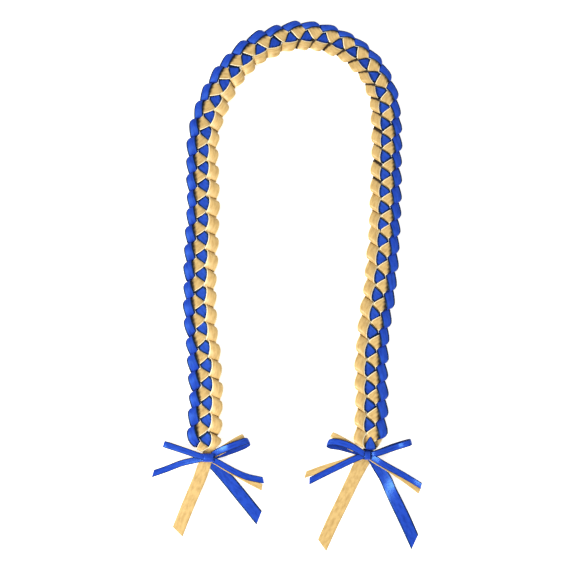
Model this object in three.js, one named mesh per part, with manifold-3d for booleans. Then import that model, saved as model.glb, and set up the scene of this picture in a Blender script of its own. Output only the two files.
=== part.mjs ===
// Braided honor cord: two wide satin ribbons, royal blue and gold, chained loop through loop into a flat
// lei that lies as an inverted U. Each end is gathered under a bow tied from a narrow blue and a narrow
// gold ribbon, and the wide ribbons run on below it as two tails cut at a slant.
// Millimetres, +Z up. X runs to the right, Y towards the top of the U, and the lei rests on z = 0.
import * as THREE from "three";
import { mergeVertices } from "three/addons/utils/BufferGeometryUtils.js";
import Module from "manifold-3d";

// Driving dimensions.
const WIDE = 13; // width of the two braided ribbons
const NARROW = 6.5; // width of the bow ribbons
const WALL = 1; // thickness of the cloth
const GAP = 0.3; // clearance between pieces that touch on the real lei
const LAYER = 2.6; // rise from one layer of the braid to the next
const NECK = 9; // width of a wide ribbon where the bow gathers it
const LOOP = 43; // reach of a bow loop
const BOW_TAIL = 58; // reach of a bow tail
const WIDE_TAIL = 88; // usual length of a wide tail

// Worked out from them.
const PITCH = 1.36 * WIDE; // advance of the braid for one blue and one gold loop
const MID_Z = 1.35 * LAYER + WALL / 2 + 0.05; // height of the braid's middle plane
const STEP = WALL + GAP; // rise between sheets stacked at a knot

// Middle line of the braid, from the foot of the right arm over the top to the foot of the left arm.
const ROUTE = [
  [83.4, -160], [84.6, -116], [84.5, -74], [88.4, -34], [93.2, 0], [97.4, 50], [99.4, 105], [99.9, 153],
  [96.8, 190], [84, 218], [58, 241], [19, 251], [-24.6, 239.5], [-52, 218], [-72, 188.5], [-82, 154],
  [-84.6, 76], [-86.7, 0], [-86, -38], [-82, -76], [-80.6, -114], [-82.2, -144], [-81.6, -160],
];

// The knots, and what leaves them. A bearing is counted from +X, a length is a share of WIDE_TAIL, LOOP or
// BOW_TAIL, and a cut is how far edge a leads edge b, as a share of the ribbon's width. An open loop
// stands on its edge, and its opening is a share of LOOP.
const ENDS = {
  right: {
    knot: [81.6, -169],
    under: "gold",
    tails: {
      gold: { bearing: 243, length: 1.15, cut: -0.48 },
      blue: { bearing: 298.5, length: 1.12, cut: 0.78 },
    },
    bow: {
      blue: [
        { form: "open", bearing: 162, length: 1, opening: 0.2 },
        { form: "flat", bearing: 17.5, length: 1.02 },
        { form: "tail", bearing: 205, length: 1.08, cut: -0.2 },
        { form: "tail", bearing: 331, length: 1.03, cut: 0.15 },
      ],
      gold: [
        { form: "flat", bearing: 150, length: 0.95 },
        { form: "flat", bearing: 22, length: 0.9 },
        { form: "tail", bearing: 199, length: 1.12, cut: -0.1 },
        { form: "tail", bearing: 326, length: 1.05, cut: 0.1 },
      ],
    },
  },
  left: {
    knot: [-78.4, -171],
    under: "blue",
    tails: {
      gold: { bearing: 248, length: 0.9, cut: -0.45 },
      blue: { bearing: 311, length: 0.89, cut: 0.54 },
    },
    bow: {
      blue: [
        { form: "flat", bearing: 163, length: 1.07 },
        { form: "open", bearing: 22, length: 1, opening: 0.2 },
        { form: "tail", bearing: 196, length: 1, cut: -0.1 },
        { form: "tail", bearing: 337, length: 1.02, cut: 0.2 },
      ],
      gold: [
        { form: "flat", bearing: 158, length: 0.9 },
        { form: "flat", bearing: 34, length: 0.93 },
        { form: "tail", bearing: 200, length: 0.9, cut: -0.1 },
        { form: "tail", bearing: 331, length: 1.03, cut: 0.15 },
      ],
    },
  },
};

// One turn of the gold ribbon, in the order in which it runs. Each row is a section across the ribbon,
// from its edge a to its edge b: u is inwards from the middle line and s along it, both as shares of
// WIDE, and v is the height over the middle plane, as a share of LAYER. The blue ribbon is its mirror
// image in u, half a pitch further on.
const TURN = [
  { at: "dive", ua: 0.58, va: 0.54, sa: -0.05, ub: 1.17, vb: -0.2, sb: 0.29 },
  { at: "back mouth", ua: 0.4, va: -0.62, sa: 0.06, ub: 0.97, vb: -0.62, sb: 0.62 },
  { at: "back low step", ua: -0.25, va: -0.62, sa: 0.67, ub: 0.33, vb: -0.62, sb: 1.25 },
  { at: "back high step", ua: -0.35, va: -1.35, sa: 0.77, ub: 0.25, vb: -1.35, sb: 1.38 },
  { at: "back tip", ua: -0.97, va: -1.1, sa: 1.37, ub: -0.45, vb: -1.25, sb: 1.87 },
  { at: "fold", ua: -1.05, va: 0, sa: 1.46, ub: -0.6, vb: 0, sb: 1.92 },
  { at: "tip", ua: -0.97, va: 1.1, sa: 1.37, ub: -0.45, vb: 1.25, sb: 1.87 },
  { at: "high step", ua: -0.35, va: 1.35, sa: 0.77, ub: 0.25, vb: 1.35, sb: 1.38 },
  { at: "low step", ua: -0.25, va: 0.62, sa: 0.67, ub: 0.33, vb: 0.62, sb: 1.25 },
  { at: "mouth", ua: 0.4, va: 0.62, sa: 0.06, ub: 0.97, vb: 0.62, sb: 0.62 },
  { at: "crease", ua: 0.42, va: 1.15, sa: -0.03, ub: 1.21, vb: 1.1, sb: 0.46 },
  { at: "petal", ua: 0.47, va: 2.2, sa: 0.22, ub: 1.27, vb: 1.6, sb: 0.6 },
  { at: "petal end", ua: 0.4, va: 2.2, sa: 1.23, ub: 1.12, vb: 1.0, sb: 1.5 },
];

const route = new THREE.CatmullRomCurve3(
  ROUTE.map(([x, y]) => new THREE.Vector3(x, y, 0)),
  false,
  "centripetal",
);
route.arcLengthDivisions = 2000;
const LENGTH = route.getLength();
const FOOT = 0.6 * WIDE; // braid length before the first turn
const HEAD = 2.6 * WIDE; // braid length from the start of the last turn to the end of the route
const TURNS = Math.round((LENGTH - FOOT - HEAD) / PITCH);
const pitch = (LENGTH - FOOT - HEAD) / TURNS;

// A point of the braid: u inwards, v up, s along the middle line.
function braidPoint(u, v, s) {
  const t = THREE.MathUtils.clamp(s / LENGTH, 0, 1);
  const on = route.getPointAt(t);
  const ahead = route.getTangentAt(t);
  const past = s - t * LENGTH;
  const inward = new THREE.Vector3(-ahead.y, ahead.x, 0);
  const near = Math.min(s, LENGTH - s) / (1.6 * WIDE);
  const gather = 0.62 + 0.38 * THREE.MathUtils.smoothstep(near, -0.2, 1);
  return on
    .addScaledVector(ahead, past)
    .addScaledVector(inward, u * gather)
    .setZ(MID_Z + v);
}

// One section of the braid from a row of TURN.
function braidSection(row, turn, side) {
  const start = FOOT + turn * pitch + (side < 0 ? pitch / 2 : 0);
  const stretch = pitch / PITCH;
  const point = (u, v, s) => braidPoint(side * u * WIDE, v * LAYER, start + s * WIDE * stretch);
  return { a: point(row.ua, row.va, row.sa), b: point(row.ub, row.vb, row.sb) };
}

const radians = THREE.MathUtils.degToRad;

// A flat section across a ribbon: its middle, its width and the bearing of edge b as seen from above.
function flatSection(x, y, z, width, bearing) {
  const angle = radians(bearing);
  const half = new THREE.Vector3(Math.cos(angle), Math.sin(angle), 0).multiplyScalar(width / 2);
  const middle = new THREE.Vector3(x, y, z);
  return { a: middle.clone().sub(half), b: middle.clone().add(half) };
}

// A closed solid of cloth through sections, square to the sheet and WALL thick.
function cloth(sections, wall = WALL) {
  const middles = sections.map(({ a, b }) => a.clone().add(b).multiplyScalar(0.5));
  const across = sections.map(({ a, b }) => b.clone().sub(a).normalize());
  const vertices = [];
  sections.forEach(({ a, b }, i) => {
    const before = middles[i].clone().sub(middles[Math.max(i - 1, 0)]);
    const after = middles[Math.min(i + 1, middles.length - 1)].clone().sub(middles[i]);
    const along = before.clone().normalize().add(after.clone().normalize()).normalize();
    const normal = along.clone().cross(across[i]).normalize();
    const bend = before.length() && after.length() ? before.angleTo(after) : 0;
    normal.multiplyScalar((wall / 2) * Math.min(1 / Math.cos(bend / 2), 1.35));
    const corners = [
      a.clone().add(normal),
      b.clone().add(normal),
      b.clone().sub(normal),
      a.clone().sub(normal),
    ];
    for (const corner of corners) vertices.push(corner.x, corner.y, corner.z);
  });
  const faces = [];
  const last = sections.length - 1;
  for (let i = 0; i < last; i++) {
    const [a0, b0, c0, d0] = [0, 1, 2, 3].map((k) => 4 * i + k);
    const [a1, b1, c1, d1] = [4, 5, 6, 7].map((k) => 4 * i + k);
    faces.push(a0, b1, b0, a0, a1, b1, d0, c0, c1, d0, c1, d1);
    faces.push(b0, b1, c1, b0, c1, c0, d0, d1, a1, d0, a1, a0);
  }
  const end = 4 * last;
  faces.push(0, 1, 2, 0, 2, 3, end, end + 2, end + 1, end, end + 3, end + 2);
  const geometry = new THREE.BufferGeometry();
  geometry.setAttribute("position", new THREE.BufferAttribute(new Float32Array(vertices), 3));
  geometry.setIndex(faces);
  return geometry;
}

// Heights at a knot: the two wide ribbons, the top of the band round them, the gold bow and the blue one.
const neckZ = (end, colour) => WALL / 2 + STEP * (ENDS[end].under === colour ? 1 : 2);
const BAND_TOP = 3 * STEP + WALL;
const GOLD_Z = BAND_TOP + GAP + WALL / 2;
const KNOT_Z = GOLD_Z + WALL / 2 + GAP;
const BLUE_Z = KNOT_Z + WALL / 2;
const STRIP = NARROW - 2 * STEP; // width of the gold bow's middle, inside the blue knot

// The stretch of a wide ribbon from its free cut end up to the gathered neck under the bow.
function wideTail(end, colour) {
  const [x, y] = ENDS[end].knot;
  const { bearing, length, cut } = ENDS[end].tails[colour];
  const reach = length * WIDE_TAIL;
  const neck = neckZ(end, colour);
  const rows = [
    { along: 1, rise: 0, width: WIDE, lead: cut },
    { along: 0.6, rise: 0, width: WIDE, lead: 0 },
    { along: 0.34, rise: 0.1, width: WIDE, lead: 0 },
    { along: 0.17, rise: 0.7, width: (WIDE + NECK) / 2, lead: 0 },
  ];
  const away = new THREE.Vector3(Math.cos(radians(bearing)), Math.sin(radians(bearing)), 0);
  const sections = rows.map(({ along, rise, width, lead }) => {
    const z = WALL / 2 + rise * (neck - WALL / 2);
    const [sx, sy] = [x + along * reach * away.x, y + along * reach * away.y];
    const section = flatSection(sx, sy, z, width, bearing - 270);
    section.a.addScaledVector(away, (lead * WIDE) / 2);
    section.b.addScaledVector(away, (-lead * WIDE) / 2);
    return section;
  });
  const half = NARROW / 2 + STEP;
  return [...sections, flatSection(x, y - half, neck, NECK, 0), flatSection(x, y + half, neck, NECK, 0)];
}

// A wide ribbon from the cut end of its right tail through the braid to the cut end of its left tail.
function wideRibbon(colour, side) {
  const rows = [];
  for (let turn = -1; turn <= TURNS; turn++) {
    for (const row of TURN) rows.push({ row, turn });
  }
  const find = (turn, at) => rows.findIndex((entry) => entry.turn === turn && entry.row.at === at);
  const [first, last] =
    colour === "gold"
      ? [find(0, "back mouth"), find(TURNS, "petal end")]
      : [find(-1, "petal end"), find(TURNS, "back low step")];
  const braid = rows.slice(first, last + 1).map(({ row, turn }) => braidSection(row, turn, side));
  const turned = (sections) => sections.map(({ a, b }) => ({ a: b, b: a }));
  const start = wideTail("right", colour);
  const finish = wideTail("left", colour).reverse();
  return cloth([
    ...(side > 0 ? turned(start) : start),
    ...braid,
    ...(side > 0 ? finish : turned(finish)),
  ]);
}

// The plan of a loop: out along one strand and back along the other. `along` is a share of its reach,
// `strand` is 1 on the outgoing strand and -1 on the returning one.
const LOOP_PLAN = [
  { along: 0.04, strand: 0.35 },
  { along: 0.25, strand: 0.7 },
  { along: 0.55, strand: 1 },
  { along: 0.9, strand: 0.85 },
  { along: 1, strand: 0 },
  { along: 0.9, strand: -0.85 },
  { along: 0.55, strand: -1 },
  { along: 0.25, strand: -0.7 },
  { along: 0.04, strand: -0.35 },
];

// How far a bow piece has come down from the knot to its rest, from 0 to 1.
const settled = (along) => THREE.MathUtils.smoothstep(along, 0.2, 0.6);
const tailSettled = (along) => THREE.MathUtils.smoothstep(along, 0.15, 0.8);

// A loop that lies flat: one strand over the other, folded at the tip.
function flatLoop([x, y], { bearing, length }, rootZ, restZ) {
  const away = new THREE.Vector3(Math.cos(radians(bearing)), Math.sin(radians(bearing)), 0);
  const reach = length * LOOP;
  return LOOP_PLAN.map(({ along, strand }) => {
    const middle = rootZ + STEP / 2 + (restZ + STEP / 2 - rootZ) * settled(along);
    const spread = (STEP / 2) * (1 + settled(along));
    const width = NARROW * (0.6 + 0.4 * settled(along * 2));
    const height = middle + Math.sign(strand) * spread;
    return flatSection(x + along * reach * away.x, y + along * reach * away.y, height, width, bearing - 270);
  });
}

// A loop that stands on its edge and shows its opening from above.
function openLoop([x, y], { bearing, length, opening }, rootZ, restZ) {
  const away = new THREE.Vector3(Math.cos(radians(bearing)), Math.sin(radians(bearing)), 0);
  const aside = new THREE.Vector3(-away.y, away.x, 0);
  return LOOP_PLAN.map(({ along, strand }) => {
    const low = rootZ + (restZ - rootZ) * settled(along) - WALL / 4;
    const tall = NARROW * (0.28 + 0.72 * settled(along * 1.4));
    const a = new THREE.Vector3(x, y, low)
      .addScaledVector(away, along * length * LOOP)
      .addScaledVector(aside, strand * opening * LOOP * 0.5);
    return { a, b: a.clone().setZ(low + tall) };
  });
}

// A free end of a bow ribbon, lying flat with a slanted cut.
function bowTail([x, y], { bearing, length, cut }, rootZ, restZ) {
  const away = new THREE.Vector3(Math.cos(radians(bearing)), Math.sin(radians(bearing)), 0);
  const reach = length * BOW_TAIL;
  return [0.03, 0.2, 0.36, 0.56, 1].map((along) => {
    const height = rootZ + (restZ - rootZ) * tailSettled(along);
    const width = NARROW * (0.6 + 0.4 * settled(along * 2));
    const [sx, sy] = [x + along * reach * away.x, y + along * reach * away.y];
    const section = flatSection(sx, sy, height, width, bearing - 270);
    const lead = along === 1 ? (cut * NARROW) / 2 : 0;
    section.a.addScaledVector(away, lead);
    section.b.addScaledVector(away, -lead);
    return section;
  });
}

// A frame of cloth round a rectangle, extruded over `depth` along Y or, when turned, along X.
function band(x, y, halfWidth, bottom, top, depth, along) {
  const outline = new THREE.Shape();
  outline.moveTo(-halfWidth - WALL, bottom - WALL);
  outline.lineTo(halfWidth + WALL, bottom - WALL);
  outline.lineTo(halfWidth + WALL, top + WALL);
  outline.lineTo(-halfWidth - WALL, top + WALL);
  const hole = new THREE.Path();
  hole.moveTo(-halfWidth, bottom);
  hole.lineTo(-halfWidth, top);
  hole.lineTo(halfWidth, top);
  hole.lineTo(halfWidth, bottom);
  outline.holes.push(hole);
  const geometry = new THREE.ExtrudeGeometry(outline, { depth, bevelEnabled: false });
  geometry.translate(0, 0, -depth / 2).rotateX(Math.PI / 2);
  if (along === "x") geometry.rotateZ(Math.PI / 2);
  return geometry.translate(x, y, 0);
}

const wasm = await Module();
wasm.setup();

function solid(geometry) {
  const bare = geometry.clone();
  bare.deleteAttribute("normal");
  bare.deleteAttribute("uv");
  const merged = mergeVertices(bare, 1e-4);
  return new wasm.Manifold(
    new wasm.Mesh({
      numProp: 3,
      vertProperties: merged.attributes.position.array,
      triVerts: new Uint32Array(merged.index.array),
    }),
  );
}

function joined(geometries) {
  const mesh = geometries.map(solid).reduce((whole, piece) => whole.add(piece)).getMesh();
  const geometry = new THREE.BufferGeometry();
  geometry.setAttribute("position", new THREE.BufferAttribute(mesh.vertProperties, 3));
  geometry.setIndex(new THREE.BufferAttribute(mesh.triVerts, 1));
  return geometry;
}

// The bow's loops and tails of one colour. The gold ones start on the strip that passes through the knot.
function bowPieces(end, colour) {
  const { knot, bow } = ENDS[end];
  const gold = colour === "gold";
  const rootZ = gold ? GOLD_Z : BLUE_Z;
  const lowest = WALL / 2 + (gold ? 0 : STEP);
  const loopRest = WALL / 2 + (gold ? 0 : 3 * STEP);
  return bow[colour].map((piece) => {
    const form = { open: openLoop, flat: flatLoop, tail: bowTail }[piece.form];
    const drop = gold && piece.form === "flat" ? STEP : 0;
    const sections = form(knot, piece, rootZ - drop, piece.form === "tail" ? lowest : loopRest);
    if (!gold) return cloth(sections);
    const side = Math.cos(radians(piece.bearing)) > 0 ? 1 : -1;
    const [share, width] = piece.form === "tail" ? [0.36, 0.8 * STRIP] : [0.43, STRIP];
    const start = flatSection(knot[0] + side * share * NARROW, knot[1], rootZ, width, side > 0 ? -270 : -90);
    return cloth([start, ...sections.slice(1, piece.form === "flat" ? -1 : undefined)]);
  });
}

// The blue bow: a band round the gathered wide ribbons, and a knot that wraps the gold bow's middle.
function blueBow(end) {
  const [x, y] = ENDS[end].knot;
  const wrapHalf = NARROW / 2 - WALL;
  const neckBand = band(x, y, NECK / 2 + GAP, WALL, BAND_TOP - WALL, NARROW, "y");
  const wrap = band(x, y, wrapHalf, BAND_TOP, KNOT_Z, 0.8 * NARROW, "x");
  const knot = new THREE.BoxGeometry(NARROW, NARROW, 2.4 * WALL).translate(x, y, KNOT_Z + 1.2 * WALL);
  return joined([neckBand, wrap, knot, ...bowPieces(end, "blue")]);
}

// The gold bow: a strip through the blue knot, with its own loops and tails.
function goldBow(end) {
  const [x, y] = ENDS[end].knot;
  const strip = new THREE.BoxGeometry(NARROW, 0.9 * STRIP, 0.9 * WALL).translate(x, y, GOLD_Z);
  return joined([strip, ...bowPieces(end, "gold")]);
}

const BLUE = new THREE.MeshStandardMaterial({ color: 0x244ecd, roughness: 0.38, metalness: 0 });
const GOLD = new THREE.MeshStandardMaterial({ color: 0xe2bc70, roughness: 0.42, metalness: 0 });

const honorCord = new THREE.Group();
function place(name, geometry, material) {
  const mesh = new THREE.Mesh(geometry, material);
  mesh.name = name;
  honorCord.add(mesh);
}

place("gold_ribbon", wideRibbon("gold", 1), GOLD);
place("blue_ribbon", wideRibbon("blue", -1), BLUE);
for (const end of Object.keys(ENDS)) {
  place(`${end}_bow_blue`, blueBow(end), BLUE);
  place(`${end}_bow_gold`, goldBow(end), GOLD);
}

// The origin lies under the middle of the whole lei, on the surface that it rests on.
const box = new THREE.Box3().setFromObject(honorCord, true);
const middle = box.getCenter(new THREE.Vector3());
honorCord.position.set(-middle.x, -middle.y, -box.min.z);

export default honorCord;
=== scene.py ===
"""A braided honor cord of blue and gold satin ribbon, laid as an inverted U and seen from above.

Lengths are millimetres on the drawing, whose origin is near the middle of the lei, and become metres
in mesh_object. The braid, the wide tails and the bows are strips of cloth swept through sections.
"""

import math

import bpy
import numpy as np
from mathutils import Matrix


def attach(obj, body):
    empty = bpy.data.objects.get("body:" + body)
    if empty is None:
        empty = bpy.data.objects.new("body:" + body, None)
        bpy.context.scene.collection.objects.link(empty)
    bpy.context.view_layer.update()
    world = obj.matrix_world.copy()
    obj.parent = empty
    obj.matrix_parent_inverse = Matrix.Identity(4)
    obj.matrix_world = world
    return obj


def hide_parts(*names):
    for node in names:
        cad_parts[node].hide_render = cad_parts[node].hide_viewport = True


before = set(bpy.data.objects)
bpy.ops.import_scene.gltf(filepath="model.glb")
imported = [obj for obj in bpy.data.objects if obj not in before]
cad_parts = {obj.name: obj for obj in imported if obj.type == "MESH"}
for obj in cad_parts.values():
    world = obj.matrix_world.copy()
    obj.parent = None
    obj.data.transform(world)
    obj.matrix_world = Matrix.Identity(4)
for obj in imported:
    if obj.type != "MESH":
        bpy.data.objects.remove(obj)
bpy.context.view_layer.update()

# Driving sizes, as in the CAD model.
WIDE = 13.0  # width of the braided ribbons
NARROW = 6.5  # width of the bow ribbons
LAYER = 2.6  # rise from one layer of the braid to the next
PITCH = 1.36 * WIDE  # advance of the braid for one blue and one gold loop
TURNS = 52  # loops of each colour after the first one
CLOTH = 0.42  # thickness of the ribbon
MIDDLE = (0.13, 1.05)  # middle of the lei's box on the drawing
MID_Z = 4.06  # height of the braid's middle plane

# The braid narrows to a share of its width over a stretch at each end, which starts before the middle
# line does. What runs past the line's ends is pulled in.
END_SHARE, END_BEFORE, END_STRETCH = 0.5, 10, 18
PULLED_IN = 0.45

# How far the turns stray at random: each turn along the braid in millimetres, and its loop's edges a and
# b outwards in shares of WIDE. Edge a strays less along a loop, to nothing at STRAY_END, and moves ahead
# by a share of what it strays.
STRAY_TURN, STRAY_A, STRAY_B, STRAY_AHEAD, STRAY_END = 0.5, 0.035, 0.025, 0.6, 1.2

# How far the middle of a section stands proud of its edges, in millimetres. It is negative in a band,
# whose normals point inwards.
TAIL_CROWN, NECK_CROWN, LOOP_CROWN, BAND_CROWN = 0.15, 0.4, 0.25, -0.2

# Painted shade: where a ribbon's colour is darkened for the shade it lies in under the other colour, how
# far towards the other side that starts and is full, in shares of WIDE, and the blue sections that lie
# under gold. In a stretch of the arc the notches between the gold loops are painted dark as shade, so there
# the ends of the loops count as further under at their edges a and b.
PAINTED_SHADE_BANDS = {"gold": (0.41, 0.49), "blue": (0.33, 0.41)}
UNDER_GOLD = ("low step", "mouth")
UNDER_GOLD_DEPTH = (-0.7, -0.7)
NOTCHED = (240, 452)
NOTCH = {"petal rest": (-0.46, 0.1), "petal end": (-0.9, -0.76), "dive": (-1.5, -1.5)}

# Middle line of the braid, from the foot of the right arm over the top to the foot of the left arm.
ROUTE = [
    (83.4, -160), (84.6, -116), (84.5, -74), (88.4, -34), (93.2, 0), (97.4, 50), (99.4, 105), (99.9, 153),
    (96.8, 190), (84, 218), (58, 241), (19, 251), (-24.6, 239.5), (-52, 218), (-72, 188.5), (-82, 154),
    (-84.6, 76), (-86.7, 0), (-86, -38), (-82, -76), (-80.6, -114), (-82.2, -144), (-81.6, -160),
]

# Where some turns of the gold ribbon start along the middle line. The loops are closer over the top.
STARTS = [
    (-1, -23), (0, -4), (1, 14.8), (11, 199), (21, 365.3), (31, 533.4), (41, 708), (51, 890.2), (53, 926.4),
]

# How much further out than usual the gold and the blue loops reach at places along the middle line, and
# how far out the blue loops' inner edge moves, in millimetres. Over the top the blue side leans down and
# looks narrower. The reach grows from nothing at REACH_FROM to all of it REACH_OVER further out, and the
# inner edge's shift fades at the rate SHIFT_FADE to nothing at SHIFT_END along the loop, in shares of WIDE.
REACH_FROM, REACH_OVER, SHIFT_FADE, SHIFT_END = 0.3, 0.9, 2, 1.35
REACH = [
    # s, gold, blue, blue's inner edge
    (0, 0.6, 1.4, 0), (110, 0.2, 0.7, 0), (230, 0.0, 0.0, 0), (300, -0.8, -0.6, 0), (350, -0.7, -1.6, 1.2),
    (385, -0.8, -3.4, 1.5), (425, 0.0, -3.2, 1.2), (465, -1.4, -1.8, 0.4), (500, -1.3, -0.6, 0),
    (535, 0.0, -1.0, 0), (570, 1.1, -1.6, 0), (600, -0.8, 0.6, 0), (640, 0.2, 0.4, 0), (675, 1.6, -0.8, 0),
    (715, 1.2, 0.2, 0), (760, 0.4, 0.3, 0), (850, 0.5, 1.2, 0), (930, 0.8, 1.2, 0),
]

# One turn of a ribbon in the order in which it runs, as sections from edge a to edge b: u towards its own
# side and s along the middle line as shares of WIDE, v above the middle plane as a share of LAYER, and
# the crown by which the middle of the section stands proud, as a share of WIDE. First the part that
# crosses under the braid and comes back over it, then each colour's loop at its own side.
CROSSING = [
    # at, ua, va, sa, ub, vb, sb, crown
    ("back mouth", 0.40, -0.75, 0.10, 0.88, -0.75, 0.56, 0.00),
    ("back low step", -0.25, -0.95, 0.67, 0.33, -0.95, 1.25, 0.00),
    ("back high step", -0.37, -1.28, 0.75, 0.27, -1.28, 1.39, 0.02),
    ("back tip", -0.93, -1.10, 1.36, -0.43, -1.25, 1.87, 0.02),
    ("fold", -1.00, 0.00, 1.44, -0.57, 0.00, 1.91, 0.00),
    ("tip", -0.93, 1.10, 1.36, -0.43, 1.25, 1.87, 0.02),
    ("high step", -0.37, 1.28, 0.75, 0.27, 1.28, 1.39, 0.03),
    ("low step", -0.25, 0.95, 0.67, 0.33, 0.95, 1.25, 0.00),
    ("mouth", 0.33, 0.75, 0.22, 0.86, 0.75, 0.80, 0.00),
]
PETAL = {
    "gold": [
        ("crease", 0.45, 1.20, 0.06, 1.18, 1.10, 0.54, 0.02),
        ("petal start", 0.53, 2.05, 0.28, 1.29, 1.65, 0.70, 0.05),
        ("petal", 0.54, 2.25, 0.68, 1.31, 1.60, 0.97, 0.08),
        ("petal rest", 0.44, 1.85, 1.08, 1.22, 1.35, 1.34, 0.07),
        ("petal end", 0.33, 1.10, 1.36, 1.09, 0.90, 1.65, 0.03),
        ("dive", 0.37, 0.20, 1.42, 1.04, 0.05, 1.76, 0.00),
    ],
    "blue": [
        ("crease", 0.60, 1.25, 0.24, 1.03, 1.25, 0.44, 0.02),
        ("petal start", 0.61, 2.05, 0.42, 1.20, 1.65, 0.66, 0.05),
        ("petal", 0.51, 2.25, 0.80, 1.21, 1.60, 0.94, 0.08),
        ("petal rest", 0.40, 1.85, 1.12, 1.12, 1.35, 1.34, 0.06),
        ("petal end", 0.335, 1.15, 1.35, 0.99, 0.75, 1.75, 0.03),
        ("dive", 0.36, 0.20, 1.41, 0.90, 0.05, 1.86, 0.00),
    ],
}


def smooth(rows, steps):
    """Rows of numbers, whose first six are the two edges, on a centripetal curve through them."""
    rows = np.asarray(rows, float)
    middle = (rows[:, 0:3] + rows[:, 3:6]) / 2
    least = 1e-3
    gaps = np.sqrt(np.maximum(np.linalg.norm(np.diff(middle, axis=0), axis=1), least))
    knots = np.concatenate([[0], np.cumsum(gaps)])
    slopes = np.diff(rows, axis=0) / gaps[:, None]
    tangents = np.empty_like(rows)
    tangents[0], tangents[-1] = slopes[0], slopes[-1]
    before, after = gaps[:-1, None], gaps[1:, None]
    tangents[1:-1] = (slopes[:-1] * after + slopes[1:] * before) / (before + after)
    t = np.linspace(0, 1, steps, endpoint=False)[None, :, None]
    p0, p1, m0, m1 = (x[:, None, :] for x in (rows[:-1], rows[1:], tangents[:-1], tangents[1:]))
    width = gaps[:, None, None]
    curve = (
        (2 * t**3 - 3 * t**2 + 1) * p0
        + (t**3 - 2 * t**2 + t) * width * m0
        + (-2 * t**3 + 3 * t**2) * p1
        + (t**3 - t**2) * width * m1
    )
    return np.concatenate([curve.reshape(-1, rows.shape[1]), rows[-1:]])


def route_table():
    """Dense points of the middle line, their distance along it and their direction."""
    flat = [(x, y, 0, x, y, 0) for x, y in ROUTE]
    points = smooth(flat, steps=60)[:, 0:2]
    along = np.concatenate([[0], np.cumsum(np.linalg.norm(np.diff(points, axis=0), axis=1))])
    ahead = np.gradient(points, along, axis=0)
    return points, along, ahead / np.linalg.norm(ahead, axis=1)[:, None]


ROUTE_POINTS, ROUTE_ALONG, ROUTE_AHEAD = route_table()
LENGTH = ROUTE_ALONG[-1]

# Three random numbers for each turn of the gold and of the blue ribbon.
RANDOM = np.random.default_rng(5).normal(size=(TURNS + 4, 2, 3)).clip(-2, 2)


def braid_point(u, v, s):
    """A point of the braid: u inwards from the middle line, v up, s along it."""
    on = min(max(s, 0), LENGTH)
    x, y = (np.interp(on, ROUTE_ALONG, ROUTE_POINTS[:, k]) for k in (0, 1))
    ax, ay = (np.interp(on, ROUTE_ALONG, ROUTE_AHEAD[:, k]) for k in (0, 1))
    near = min(max((min(s, LENGTH - s) + END_BEFORE) / END_STRETCH, 0), 1)
    gather = END_SHARE + (1 - END_SHARE) * near * near * (3 - 2 * near)
    past = (s - on) * PULLED_IN
    return (x + ax * past - ay * u * gather, y + ay * past + ax * u * gather, MID_Z + v)


def turn_start(turn):
    """Where a turn starts along the middle line, and how its advance compares with PITCH."""
    turns, places = zip(*STARTS)
    place = np.interp(turn, turns, places)
    return place, (np.interp(turn + 0.5, turns, places) - np.interp(turn - 0.5, turns, places)) / PITCH


def on_loop(u, v):
    """Whether an edge lies on the part of a loop that shows at the braid's own side."""
    return v > 1 and u > REACH_FROM


def braid_section(row, turn, side):
    """A section of the gold (side 1) or blue (side -1) ribbon in one of its turns.

    It holds the edges a and b, the crown, how far a and b lie under the other colour, and mattness.
    """
    name, ua, va, sa, ub, vb, sb, crown = row
    gold = side > 0
    start, stretch = turn_start(turn if gold else turn + 0.5)
    stray = RANDOM[turn + 2, 0 if gold else 1]
    start += STRAY_TURN * stray[0]
    if on_loop(ua, va):
        out = STRAY_A * stray[1]
        left = max(0, STRAY_END - sa)
        ua, sa = ua + out * left, sa + STRAY_AHEAD * out * left
        ub = ub + STRAY_B * stray[2]
    places, *reaches = zip(*REACH)
    reach = np.interp(start, places, reaches[0 if gold else 1]) / WIDE
    inner = np.interp(start, places, reaches[2]) / WIDE
    ua, ub = (u + reach * min(max((u - REACH_FROM) / REACH_OVER, 0), 1) for u in (ua, ub))
    if not gold and on_loop(ua, va):
        ua += inner * min(max(SHIFT_FADE * (SHIFT_END - sa), 0), 1)
    stretch *= WIDE
    a = braid_point(side * ua * WIDE, va * LAYER, start + sa * stretch)
    b = braid_point(side * ub * WIDE, vb * LAYER, start + sb * stretch)
    # How far a and b lie under the other colour. The strip paints shade from these values, and in NOTCHED
    # from NOTCH.
    depth = (ua, ub)
    if gold:
        # Nothing covers the gold ribbon in its last turn.
        covered = 1 if turn < TURNS else 0
        depth = ((ua + inner) * covered, (ub + inner) * covered)
        if NOTCHED[0] < start < NOTCHED[1]:
            depth = NOTCH.get(name, depth)
    elif name in UNDER_GOLD:
        depth = UNDER_GOLD_DEPTH
    return (*a, *b, side * crown * WIDE, *depth, 1)


def flat_section(x, y, z, width, bearing, roll=0, crown=0, lead=0):
    """A section across a ribbon that runs towards a bearing.

    The roll lifts its left edge, b, and the lead puts its right edge, a, ahead for a slanted cut.
    """
    angle, tilt = math.radians(bearing), math.radians(roll)
    left = np.array([-math.sin(angle) * math.cos(tilt), math.cos(angle) * math.cos(tilt), math.sin(tilt)])
    away = np.array([math.cos(angle), math.sin(angle), 0])
    middle = np.array([x, y, z])
    a = middle - left * width / 2 + away * lead / 2
    b = middle + left * width / 2 - away * lead / 2
    return (*a, *b, crown, 0, 0, 0)


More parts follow.
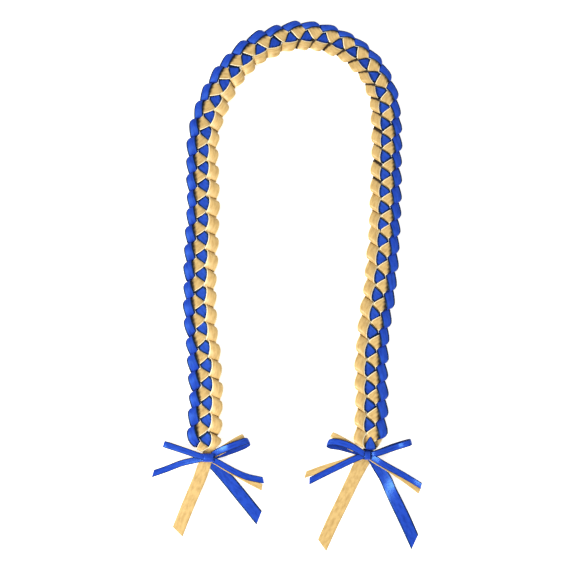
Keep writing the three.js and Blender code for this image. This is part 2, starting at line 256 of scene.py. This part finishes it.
def strip(sections, steps=6, across=9, thick=CLOTH, closed=False, painted_shade_from=(1, 2), rim=0.05):
    """Vertices, faces, ribbon coordinates, depth under the other colour and mattness of a strip.

    The painted shade under the other colour starts at the first of the two given shares and is full at the
    second. The rim is the share of the width that the ribbon coordinates leave out on each side, except in
    the braid, so the edge line looks thinner.
    """
    rows = np.asarray(sections, float)
    if closed:
        rows = np.concatenate([rows[-2:], rows, rows[:2]])
    fine = smooth(rows, steps)
    if closed:
        fine = fine[2 * steps : -2 * steps + steps - 1]
    else:
        # A row right beside each cut end keeps the shading flat up to the cut.
        beside = [0.95 * fine[0] + 0.05 * fine[1], 0.05 * fine[-2] + 0.95 * fine[-1]]
        fine = np.concatenate([fine[:1], beside[:1], fine[1:-1], beside[1:], fine[-1:]])
    a, b, crown = fine[:, 0:3], fine[:, 3:6], fine[:, 6]
    under_a, under_b, mattness = fine[:, 7:8], fine[:, 8:9], fine[:, 9:10]
    middle = (a + b) / 2
    along = np.gradient(middle, axis=0)
    if closed:
        along = np.roll(middle, -1, axis=0) - np.roll(middle, 1, axis=0)
    normal = np.cross(along, b - a)
    normal /= np.linalg.norm(normal, axis=1)[:, None]
    share = np.linspace(0, 1, across)
    bulge = 1 - (2 * share - 1) ** 2
    body = a[:, None] + (b - a)[:, None] * share[None, :, None]
    body = body + normal[:, None] * (crown[:, None] * bulge[None, :])[..., None]
    edge_share, body_share = 0.55, 0.45
    half = thick / 2 * (edge_share + body_share * np.minimum(1, bulge * 3))
    top = body + normal[:, None] * half[None, :, None]
    under = body - normal[:, None] * half[None, :, None]
    skin = np.concatenate([top, under[:, ::-1]], axis=1)
    count, size = len(skin), 2 * across
    run = np.concatenate([[0], np.cumsum(np.linalg.norm(np.diff(middle, axis=0), axis=1))])
    left_out = rim * (1 - mattness)
    over = left_out + (1 - 2 * left_out) * np.concatenate([share, share[::-1]])[None, :]
    ahead = along / np.linalg.norm(along, axis=1)[:, None]
    lead = np.einsum("ijk,ik->ij", body - middle[:, None], ahead) * (1 - mattness)
    coords = np.stack([over, run[:, None] + np.concatenate([lead, lead[:, ::-1]], axis=1)], -1)
    # Painted shade: the colour darkens where the section lies far enough under the other colour.
    reach = under_a + (under_b - under_a) * share[None, :]
    painted_shade = np.clip((-reach - painted_shade_from[0]) / (painted_shade_from[1] - painted_shade_from[0]), 0, 1)
    painted_shade = np.concatenate([painted_shade, painted_shade[:, ::-1]], axis=1)
    matt = np.repeat(mattness, size, 1)
    i = np.arange(count if closed else count - 1)[:, None]
    k = np.arange(size)[None, :]
    j, n = (i + 1) % count, (k + 1) % size
    faces = np.stack([i * size + k, j * size + k, j * size + n, i * size + n], -1).reshape(-1, 4).tolist()
    if not closed:
        faces.append(list(range(size)))
        faces.append(list(range(count * size - 1, (count - 1) * size - 1, -1)))
    return skin.reshape(-1, 3), faces, coords.reshape(-1, 2), painted_shade.reshape(-1), matt.reshape(-1)


def mesh_object(name, strips, material, nodes):
    """One object of one or more strips, in metres in the frame, standing for CAD nodes."""
    vertices, faces, coords, depths, matts = [], [], [], [], []
    for points, quads, uv, painted_shade, matt in strips:
        base = sum(len(part) for part in vertices)
        vertices.append(points)
        coords.append(uv)
        depths.append(painted_shade)
        matts.append(matt)
        faces.extend([index + base for index in face] for face in quads)
    points = (np.concatenate(vertices) - [MIDDLE[0], MIDDLE[1], 0]) / 1000
    uv = np.concatenate(coords)
    mesh = bpy.data.meshes.new(name)
    mesh.from_pydata(points.tolist(), [], faces)
    layer = mesh.uv_layers.new(name="ribbon")
    corners = np.array([loop.vertex_index for loop in mesh.loops])
    layer.data.foreach_set("uv", uv[corners].astype(np.float32).ravel())
    # Point attributes: the painted shade under the other colour, and the mattness that sets the roughness.
    for label, parts in (("painted_shade", depths), ("matt", matts)):
        attribute = mesh.attributes.new(label, "FLOAT", "POINT")
        attribute.data.foreach_set("value", np.concatenate(parts).astype(np.float32))
    mesh.polygons.foreach_set("use_smooth", [len(face) == 4 for face in faces])
    mesh.materials.append(material)
    piece = bpy.data.objects.new(name, mesh)
    bpy.context.scene.collection.objects.link(piece)
    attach(piece, "root")
    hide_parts(*nodes)
    return piece


# What leaves each knot. Positions are from the knot, in millimetres. A neck's rows go up from the knot: to
# the right, above, width. A tail's rows are its middle line: x, y, z, width, roll. The cut is how far one
# corner of the tail's end is ahead of the other.
KNOTS = {"left": (-77.5, -171.2), "right": (80.4, -168.6)}
WIDE_TAILS = {
    ("right", "gold"): {
        "neck z": 1.8,
        "neck": [(0, -4, 9), (0, 4.5, 12)],
        "cut": -7.5,
        "rows": [
            (-45, -90.3, 0.35, 12.6, 0), (-34, -66, 0.5, 13, 1), (-23.7, -45, 1.0, 13, 2),
            (-13.2, -23, 2.0, 13.2, 3), (-6.4, -10, 2.2, 13.6, 0),
        ],
    },
    ("right", "blue"): {
        "neck z": 3.2,
        "neck": [(3.8, -4, 7), (0, 4.5, 12)],
        "cut": 10.9,
        "rows": [
            (47.8, -87, 0.35, 12.6, 0), (37.9, -65, 0.6, 13, 0), (28.3, -45, 2.4, 13, 12),
            (23, -34, 3.2, 13, 22), (18.2, -23, 3.2, 12.3, 12), (9.3, -10, 3.2, 10, 0),
        ],
    },
    ("left", "gold"): {
        "neck z": 3.2,
        "neck": [(-3.6, -4, 12.5), (0, 4.5, 13), (0, 10, 13)],
        "cut": -5.8,
        "rows": [
            (-31.5, -74.2, 0.35, 13, 0), (-24.4, -56, 0.8, 13, 3), (-17.1, -38.4, 1.6, 13, 2),
            (-9.6, -21, 2.4, 13.2, 0), (-5.4, -9, 3.0, 13.2, 0),
        ],
    },
    ("left", "blue"): {
        "neck z": 1.8,
        "neck": [(0, -4, 9), (0, 4.5, 12)],
        "cut": 7.4,
        "rows": [
            (50, -60.2, 0.35, 13, 0), (41, -49, 0.5, 13, 0), (32.4, -38.4, 0.8, 13, 0),
            (19, -22, 1.4, 12.6, 0), (7, -9, 2.0, 11, 0),
        ],
    },
}


def bearings(rows):
    """The bearing of a line of rows at each of them."""
    points = np.array([row[:2] for row in rows], float)
    ahead = np.gradient(points, axis=0)
    return np.degrees(np.unwrap(np.arctan2(ahead[:, 1], ahead[:, 0])))


def tail_sections(knot, rows, cut):
    """Sections of a tail from its knot outwards, with a slanted cut at the end."""
    sections = []
    for index, (row, bearing) in enumerate(zip(rows, bearings(rows))):
        x, y, z, width, roll = row
        lead = cut if index == len(rows) - 1 else 0
        sections.append(flat_section(knot[0] + x, knot[1] + y, z, width, bearing, roll, TAIL_CROWN, lead))
    return sections


def turned(sections):
    """The same sections with their edges exchanged."""
    return [(*s[3:6], *s[0:3], -s[6], s[8], s[7], s[9]) for s in sections]


def wide_tail(end, colour):
    """Sections of a wide tail, from its cut end to the neck's upper side."""
    tail = WIDE_TAILS[end, colour]
    x, y = KNOTS[end]
    sections = tail_sections(KNOTS[end], tail["rows"][::-1], tail["cut"])[::-1]
    for right, above, width in tail["neck"]:
        sections.append(flat_section(x + right, y + above, tail["neck z"], width, 270, 0, NECK_CROWN))
    return sections


# How each ribbon goes from the right neck into its first turn: outwards to the blue side and along the
# middle line, in millimetres, and v as a share of LAYER, at the edges a and b.
BEGINNING = {
    "gold": [(9.5, 0, 0.2, 1.0, 3, 0.3), (12.2, 8, 0.1, 3.0, 11, -0.2)],
    "blue": [
        (-9.2, -3, 1.2, 9.0, -3, 1.2), (-6.0, 3, 1.4, 5.6, 3, 1.4), (-0.5, 10.2, 1.2, 0.6, 10, 1.2),
        (1.5, 9, -0.8, 4.5, 9, -0.8),
    ],
}

# The first section of each ribbon's first turn, and the last one of its last turn.
FIRST_AND_LAST = {"gold": ("fold", "petal end"), "blue": ("back mouth", "back low step")}


def wide_ribbon(colour, side):
    """Sections of a wide ribbon from the cut end of its right tail to that of its left tail."""
    rows = [(turn, row) for turn in range(TURNS + 1) for row in CROSSING + PETAL[colour]]
    names = [(turn, row[0]) for turn, row in rows]
    first_name, last_name = FIRST_AND_LAST[colour]
    first, last = names.index((0, first_name)), names.index((TURNS, last_name))
    braid = [braid_section(row, turn, side) for turn, row in rows[first : last + 1]]
    begin = [
        (*braid_point(-ua, va * LAYER, sa), *braid_point(-ub, vb * LAYER, sb), 0, 0, 0, 1)
        for ua, sa, va, ub, sb, vb in BEGINNING[colour]
    ]
    start, finish = wide_tail("right", colour), wide_tail("left", colour)[::-1]
    if side > 0:
        return turned(start) + begin + braid + turned(finish)
    return start + begin + braid + finish


# The satin of each ribbon: sRGB colours from 0 to 255, of which shade and body are the two tones of the
# streaks and edge is the line along each edge, in blue partly the ribbon's own dark edge and partly
# painted shade, in gold a painted highlight; the edge line's width as a share of the ribbon's; a dark
# colour painted as shade where the ribbon lies under the other colour; the tint of the specular
# reflection; the roughness in the bows and tails, and the one in the braid.
SATIN = {
    "blue": {
        "shade": (18, 44, 142),
        "body": (33, 67, 177),
        "edge": (3, 5, 34),
        "edge width": 0.17,
        "painted_gap_shade": (6, 8, 34),
        "shine": (120, 190, 255),
        "roughness": 0.28,
        "matt roughness": 0.55,
    },
    "gold": {
        "shade": (176, 140, 80),
        "body": (210, 176, 112),
        "edge": (255, 240, 200),
        "edge width": 0.075,
        "painted_gap_shade": (40, 26, 20),
        "shine": (255, 244, 215),
        "roughness": 0.3,
        "matt roughness": 0.4,
    },
}


def srgb(red, green, blue):
    """A colour given in 0 to 255, as Blender's linear values."""
    shares = [value / 255 for value in (red, green, blue)]
    linear = [((share + 0.055) / 1.055) ** 2.4 if share > 10 / 255 else share / 12.92 for share in shares]
    return (*linear, 1)


def satin(name, look):
    """Satin: weft, streaks, an edge line partly painted light, and painted shade under the other colour."""
    material = bpy.data.materials.new(name)
    material.use_nodes = True
    nodes, links = material.node_tree.nodes, material.node_tree.links
    shader = nodes["Principled BSDF"]
    shader.inputs["Anisotropic"].default_value = 0.6
    shader.inputs["Specular Tint"].default_value = srgb(*look["shine"])
    shader.inputs["Sheen Weight"].default_value = 0.08
    shader.inputs["Sheen Roughness"].default_value = 0.4
    shader.inputs["Specular IOR Level"].default_value = 0.6

    uv = nodes.new("ShaderNodeUVMap")
    uv.uv_map = "ribbon"
    split = nodes.new("ShaderNodeSeparateXYZ")
    links.new(uv.outputs["UV"], split.inputs["Vector"])

    stretch = nodes.new("ShaderNodeMapping")
    stretch.inputs["Scale"].default_value = (5, 0.14, 1)
    links.new(uv.outputs["UV"], stretch.inputs["Vector"])
    streaks = nodes.new("ShaderNodeTexNoise")
    streaks.inputs["Scale"].default_value = 1
    streaks.inputs["Detail"].default_value = 4
    links.new(stretch.outputs["Vector"], streaks.inputs["Vector"])
    tone = nodes.new("ShaderNodeMix")
    tone.data_type = "RGBA"
    tone.inputs["A"].default_value = srgb(*look["shade"])
    tone.inputs["B"].default_value = srgb(*look["body"])
    contrast = nodes.new("ShaderNodeMapRange")
    contrast.inputs["From Min"].default_value = 0.25
    contrast.inputs["From Max"].default_value = 0.6
    links.new(streaks.outputs["Fac"], contrast.inputs["Value"])
    links.new(contrast.outputs["Result"], tone.inputs["Factor"])

    # The edge line: in blue partly the ribbon's own dark edge and partly painted shade, in gold a painted
    # highlight.
    rim = nodes.new("ShaderNodeMath")
    rim.operation = "PINGPONG"
    rim.inputs[1].default_value = 0.5
    links.new(split.outputs["X"], rim.inputs[0])
    edge_line = nodes.new("ShaderNodeMapRange")
    edge_line.inputs["From Min"].default_value = 0.6 * look["edge width"]
    edge_line.inputs["From Max"].default_value = look["edge width"]
    edge_line.inputs["To Min"].default_value = 1
    edge_line.inputs["To Max"].default_value = 0
    links.new(rim.outputs["Value"], edge_line.inputs["Value"])
    edged = nodes.new("ShaderNodeMix")
    edged.data_type = "RGBA"
    edged.inputs["B"].default_value = srgb(*look["edge"])
    links.new(tone.outputs["Result"], edged.inputs["A"])
    links.new(edge_line.outputs["Result"], edged.inputs["Factor"])

    # Painted shade: the colour is mixed towards a dark tone where the ribbon lies under the other colour.
    depth = nodes.new("ShaderNodeAttribute")
    depth.attribute_name = "painted_shade"
    painted_gap_shade = nodes.new("ShaderNodeMix")
    painted_gap_shade.data_type = "RGBA"
    painted_gap_shade.inputs["B"].default_value = srgb(*look["painted_gap_shade"])
    links.new(depth.outputs["Fac"], painted_gap_shade.inputs["Factor"])
    links.new(edged.outputs["Result"], painted_gap_shade.inputs["A"])
    links.new(painted_gap_shade.outputs["Result"], shader.inputs["Base Color"])

    matt = nodes.new("ShaderNodeAttribute")
    matt.attribute_name = "matt"
    rough = nodes.new("ShaderNodeMapRange")
    rough.inputs["To Min"].default_value = look["roughness"]
    rough.inputs["To Max"].default_value = look["matt roughness"]
    links.new(matt.outputs["Fac"], rough.inputs["Value"])
    links.new(rough.outputs["Result"], shader.inputs["Roughness"])

    weft = nodes.new("ShaderNodeTexWave")
    weft.bands_direction = "Y"
    weft.inputs["Scale"].default_value = 0.9
    weft.inputs["Distortion"].default_value = 0.4
    links.new(uv.outputs["UV"], weft.inputs["Vector"])
    bump = nodes.new("ShaderNodeBump")
    bump.inputs["Strength"].default_value = 0.08
    bump.inputs["Distance"].default_value = 0.0001
    links.new(weft.outputs["Fac"], bump.inputs["Height"])
    links.new(bump.outputs["Normal"], shader.inputs["Normal"])
    tangent = nodes.new("ShaderNodeTangent")
    tangent.direction_type = "UV_MAP"
    tangent.uv_map = "ribbon"
    links.new(tangent.outputs["Tangent"], shader.inputs["Tangent"])
    return material


MATERIALS = {colour: satin(f"{colour}_satin", look) for colour, look in SATIN.items()}

# The blue bands of the bows, in millimetres: one round each neck, and the knot over each bow's middle. The
# knot lies a little above its place in KNOTS, and its waist is the share of its width that is left at its
# top. The rim is as in strip.
NECK_BAND = {"centre_z": 2.9, "half_side": 5.6, "half_z": 2.3}
KNOT_BAND = {"centre_z": 7.3, "half_side": 4.0, "half_z": 3.1}
KNOT_SHAPES = {
    "left": {"width": 13.5, "above": 0.7, "waist": 0.7, "rim": 0.2},
    "right": {"width": 7.6, "above": 0.3, "waist": 0.9, "rim": 0.05},
}

# The loops and tails of the bows, as x, y, z, width, roll from the knot. A loop's rows run out along its
# upper strand and back along its lower one.
BOWS = {
    ("left", "blue"): {
        "loops": [
            {
                "bearing": 163,
                "rows": [
                    (-1, 0.5, 8.6, 5.5, 0), (-8, 2.2, 8.6, 6.2, 0), (-20, 6.2, 7.8, 6.5, 0),
                    (-36, 11.3, 6.6, 6.6, 0), (-43.5, 13.7, 5.9, 6.6, 0), (-44.8, 14.1, 5.1, 6.6, 0),
                    (-43.2, 13.6, 4.5, 6.6, 0), (-30, 9.4, 5.4, 6.5, 0), (-14, 4.2, 6.8, 6.0, 0),
                    (-2, 0.8, 7.2, 5, 0),
                ],
            },
            {
                "bearing": 22,
                "rows": [
                    (1, 1.2, 7.0, 5, 0), (6, 5, 7.4, 6.4, 4), (12.5, 8.4, 8.9, 7, 6),
                    (20, 11.6, 11.4, 7, 8), (27, 14.3, 11.6, 7, 6), (33.5, 16.3, 9.6, 7, 3),
                    (38, 17.4, 7.2, 7, 0), (40.2, 16.2, 5.2, 6.8, -12), (37, 13, 3.8, 6.5, -25),
                    (28, 8.8, 3.4, 6.4, -30), (17, 5.0, 4.2, 6.2, -30), (3, 0.5, 6.2, 5, 0),
                ],
            },
        ],
        "tails": [
            {
                "cut": -4.6,
                "rows": [
                    (-1, 0, 7.4, 5, 0), (-6.5, -0.4, 6.4, 6, 0), (-12.9, -1.8, 5.2, 6.4, 0),
                    (-27.6, -5.4, 2.8, 6.5, -5), (-41.6, -10.9, 1.2, 6.5, -4),
                    (-56.2, -16, 0.5, 6.4, 0),
                ],
            },
            {
                "cut": 3,
                "rows": [
                    (1, 0, 8.0, 5, 0), (8.9, -3.6, 7.8, 6.2, 12), (16.7, -8.2, 6.6, 6.6, 16),
                    (26.8, -14, 4.4, 6.5, 4), (37.7, -18.8, 2.4, 6.5, -4), (54.3, -22.6, 0.9, 6.2, 0),
                ],
            },
        ],
    },
    ("left", "gold"): {
        "loops": [
            {
                "bearing": 163,
                "rows": [
                    (-1, 0.4, 6.4, 5, 0), (-8, 2.0, 6.0, 5, 0), (-22, 6.6, 5.4, 5.2, 0),
                    (-38, 11.6, 4.6, 5.4, 0), (-40.5, 12.4, 4.0, 5.4, 0), (-38, 11.6, 3.4, 5.4, 0),
                    (-22, 6.6, 3.8, 5.2, 0), (-9, 2.4, 4.9, 5, 0),
                ],
            },
            {
                "bearing": 27,
                "rows": [
                    (1, 0.6, 6.4, 5, 0), (7, 4.6, 6.8, 6, 6), (16, 10.8, 6.9, 6.4, 8),
                    (26, 17.2, 6.4, 6.5, 6), (33.4, 20.8, 5.6, 6.5, 0), (35, 21.0, 4.8, 6.5, -4),
                    (32.4, 19.8, 4.0, 6.4, -8), (20, 11.4, 4.4, 6.3, -8), (9, 4.6, 5.2, 5.6, 0),
                ],
            },
        ],
        "tails": [
            {
                "cut": -1,
                "rows": [
                    (-2, 0, 5.9, 5, 0), (-9, -1.2, 5.0, 5, 0), (-20, -3.7, 3.0, 5.2, 0),
                    (-34, -8.2, 1.2, 5.4, 0), (-50, -13.9, 0.35, 5.4, 0),
                ],
            },
            {
                "cut": 2,
                "rows": [
                    (1, -0.6, 5.9, 5, 0), (8.5, -4.5, 5.9, 5.6, -4), (16.3, -9.2, 5.2, 6, -6),
                    (26.3, -15.3, 3.2, 6, -4), (38, -22, 1.4, 6.4, 0), (53, -30, 0.35, 6.4, 0),
                ],
            },
        ],
    },
    ("right", "blue"): {
        "loops": [
            {
                "bearing": 160,
                "rows": [
                    (-1, 0.6, 8.6, 5, 0), (-4.5, 2.6, 8.8, 6.2, -8), (-9.5, 5.9, 9.0, 6.8, -10),
                    (-17, 9.8, 8.8, 7, -12), (-27, 13, 8.0, 7, -10), (-36, 13.9, 6.9, 7, -4),
                    (-39.6, 12.4, 5.4, 6.8, 8), (-37.5, 10, 4.0, 6.5, 22), (-27, 7.8, 3.4, 6.4, 32),
                    (-17, 5.2, 4.6, 6.2, 32), (-3, 1, 6.6, 5, 0),
                ],
            },
            {
                "bearing": 17.5,
                "rows": [
                    (1, 0.4, 7.2, 5.5, 0), (10, 2.8, 9.8, 6.3, 4), (20, 5.9, 8.2, 6.5, 4),
                    (29, 8.8, 7.4, 6.5, 4), (37, 11.6, 9.9, 6.5, 4), (41, 12.9, 10.2, 6.5, 2),
                    (43.6, 13.9, 7.6, 6.5, 0), (40.8, 13.2, 5.2, 6.5, 0), (26, 8.8, 4.9, 6.4, 0),
                    (12, 3.8, 6.4, 6, 0), (2, 0.8, 7.2, 5, 0),
                ],
            },
        ],
        "tails": [
            {
                "cut": -3.6,
                "rows": [
                    (-1, 0, 7.4, 5, 0), (-5.5, -0.6, 6.9, 6, 0), (-11.9, -3, 5.9, 6.4, 0),
                    (-28.2, -11, 3.2, 6.5, 4), (-44.5, -19.2, 1.4, 6.5, 3), (-57.7, -26, 0.9, 6.5, 0),
                ],
            },
            {
                "cut": 2.4,
                "rows": [
                    (1, 0, 6.8, 5.4, 8), (7.7, -3.2, 8.6, 7.2, 21), (14, -7, 9.6, 7.2, 21),
                    (22, -11.7, 7.8, 6.8, 10), (34, -18.5, 3.4, 6.5, 8), (45, -25, 3.2, 6.5, 17),
                    (53.9, -30.4, 5.0, 6.5, 21),
                ],
            },
        ],
    },
    ("right", "gold"): {
        "loops": [
            {
                "bearing": 151,
                "rows": [
                    (-1, 0.6, 6.4, 5, 0), (-7, 4.4, 6.7, 6, -5), (-16, 10.4, 6.8, 6.4, -6),
                    (-27, 16.6, 6.2, 6.5, -4), (-33.8, 20, 5.6, 6.5, 0), (-35.6, 20.8, 4.8, 6.5, 0),
                    (-33, 19.4, 4.0, 6.4, 4), (-20, 10.6, 4.4, 6.3, 4), (-9, 4.0, 5.2, 5.6, 0),
                ],
            },
            {
                "bearing": 17.5,
                "rows": [
                    (1, 0.4, 6.4, 5, 0), (9, 2.5, 6.0, 5, 0), (22, 6.4, 5.4, 5.2, 0),
                    (37, 11.3, 4.6, 5.4, 0), (39.4, 12.2, 4.0, 5.4, 0), (37, 11.3, 3.4, 5.4, 0),
                    (22, 6.4, 3.8, 5.2, 0), (9, 2.5, 4.9, 5, 0),
                ],
            },
        ],
        "tails": [
            {
                "cut": -4.6,
                "rows": [
                    (-2, 0, 5.9, 5, 0), (-8.5, -1.2, 5.2, 6, 0), (-25.5, -7.6, 2.4, 6.4, 0),
                    (-43.5, -13.2, 0.8, 6.5, 0), (-61.8, -19.7, 0.3, 6.2, 0),
                ],
            },
            {
                "cut": 1.6,
                "rows": [
                    (1, -0.6, 5.9, 5, 0), (7.4, -4.4, 6.1, 6.4, -8), (20.2, -12.2, 4.4, 6.5, -8),
                    (37.6, -24.4, 1.6, 6.5, 0), (52.7, -35.8, 0.3, 6.5, 0),
                ],
            },
        ],
    },
}


def loop_sections(knot, loop):
    """Sections of a bow's loop, which all lie across its one bearing."""
    return [
        flat_section(knot[0] + x, knot[1] + y, z, width, loop["bearing"], roll, LOOP_CROWN)
        for x, y, z, width, roll in loop["rows"]
    ]


def band(knot, centre_z, half_side, half_z, width, along_y, waist=1.0, rim=0.05, count=12):
    """A closed band of ribbon, whose axis is Y round a neck and X over the middle of a bow."""
    sections = []
    for index in range(count):
        angle = 2 * math.pi * index / count
        side, up = half_side * math.cos(angle), half_z * math.sin(angle)
        half = width / 2 * (1 - (1 - waist) * max(0, math.sin(angle)))
        if along_y:
            a = (knot[0] + side, knot[1] - half, centre_z + up)
            b = (knot[0] + side, knot[1] + half, centre_z + up)
        else:
            a = (knot[0] + half, knot[1] + side, centre_z + up)
            b = (knot[0] - half, knot[1] + side, centre_z + up)
        sections.append((*a, *b, BAND_CROWN, 0, 0, 0))
    return strip(sections, steps=4, across=9, closed=True, rim=rim)


def bow(end, colour):
    """The strips of a bow of one colour: two loops and two tails, and for blue its neck band and knot."""
    knot, parts = KNOTS[end], BOWS[end, colour]
    strips = [strip(loop_sections(knot, loop)) for loop in parts["loops"]]
    strips += [strip(tail_sections(knot, tail["rows"], tail["cut"])) for tail in parts["tails"]]
    if colour == "blue":
        strips.append(band(knot, width=NARROW, along_y=True, **NECK_BAND))
        shape = KNOT_SHAPES[end]
        over = (knot[0], knot[1] + shape["above"])
        waist, rim = shape["waist"], shape["rim"]
        strips.append(band(over, width=shape["width"], along_y=False, waist=waist, rim=rim, **KNOT_BAND))
    return strips


def lay_cord():
    """The lei: the two braided ribbons, and the bows at the two ends."""
    for colour, side in (("gold", 1), ("blue", -1)):
        node = f"{colour}_ribbon"
        sections = wide_ribbon(colour, side)
        # The strip is painted dark as shade where it lies under the other colour.
        cloth = strip(sections, steps=4, across=13, painted_shade_from=PAINTED_SHADE_BANDS[colour])
        piece = mesh_object(f"{node}_cloth", [cloth], MATERIALS[colour], [node])
    for end, colour in BOWS:
        node = f"{end}_bow_{colour}"
        mesh_object(f"{node}_cloth", bow(end, colour), MATERIALS[colour], [node])


def floor():
    """A large sheet of white paper, which is no part of the lei."""
    mesh = bpy.data.meshes.new("floor")
    half = 2.5
    corners = [(-half, -half, 0), (half, -half, 0), (half, half, 0), (-half, half, 0)]
    mesh.from_pydata(corners, [], [(0, 1, 2, 3)])
    material = bpy.data.materials.new("white_paper")
    material.use_nodes = True
    nodes, links = material.node_tree.nodes, material.node_tree.links
    shader = nodes["Principled BSDF"]
    shader.inputs["Roughness"].default_value = 0.9
    shader.inputs["Specular IOR Level"].default_value = 0.1
    shader.inputs["Emission Color"].default_value = (1, 1, 1, 1)
    shader.inputs["Emission Strength"].default_value = 0.6
    grain = nodes.new("ShaderNodeTexNoise")
    grain.inputs["Scale"].default_value = 300
    tint = nodes.new("ShaderNodeMix")
    tint.data_type = "RGBA"
    tint.inputs["A"].default_value = (0.93, 0.93, 0.93, 1)
    tint.inputs["B"].default_value = (0.95, 0.95, 0.95, 1)
    links.new(grain.outputs["Fac"], tint.inputs["Factor"])
    links.new(tint.outputs["Result"], shader.inputs["Base Color"])
    mesh.materials.append(material)
    piece = bpy.data.objects.new("floor", mesh)
    bpy.context.scene.collection.objects.link(piece)


def lamp(name, place, size, watts):
    """A round area lamp that looks at the middle of the lei."""
    light = bpy.data.lights.new(name, "AREA")
    light.shape = "DISK"
    light.size = size
    light.energy = watts
    piece = bpy.data.objects.new(name, light)
    piece.location = place
    piece.rotation_euler = (-piece.location).to_track_quat("-Z", "Y").to_euler()
    bpy.context.scene.collection.objects.link(piece)


def studio():
    """White surroundings, a key light at the lower left, a weak one at the upper right, and the camera."""
    world = bpy.data.worlds.new("studio")
    world.use_nodes = True
    world.node_tree.nodes["Background"].inputs["Color"].default_value = (1, 1, 1, 1)
    world.node_tree.nodes["Background"].inputs["Strength"].default_value = 0.58
    bpy.context.scene.world = world
    lamp("key", (-1.1, -0.8, 1.3), 0.7, 40)
    lamp("fill", (0.9, 0.9, 1.6), 0.9, 5)
    camera = bpy.data.cameras.new("camera")
    view_width, distance = 0.573, 1.6
    camera.sensor_width = 36
    camera.lens = camera.sensor_width * distance / view_width
    camera_object = bpy.data.objects.new("camera", camera)
    # The drawing's origin is a tenth of a millimetre off the middle of the view.
    shift = -0.0001
    camera_object.location = (shift - MIDDLE[0] / 1000, shift - MIDDLE[1] / 1000, distance)
    bpy.context.scene.collection.objects.link(camera_object)
    bpy.context.scene.camera = camera_object
    bpy.context.scene.view_settings.view_transform = "Standard"


floor()
lay_cord()
studio()
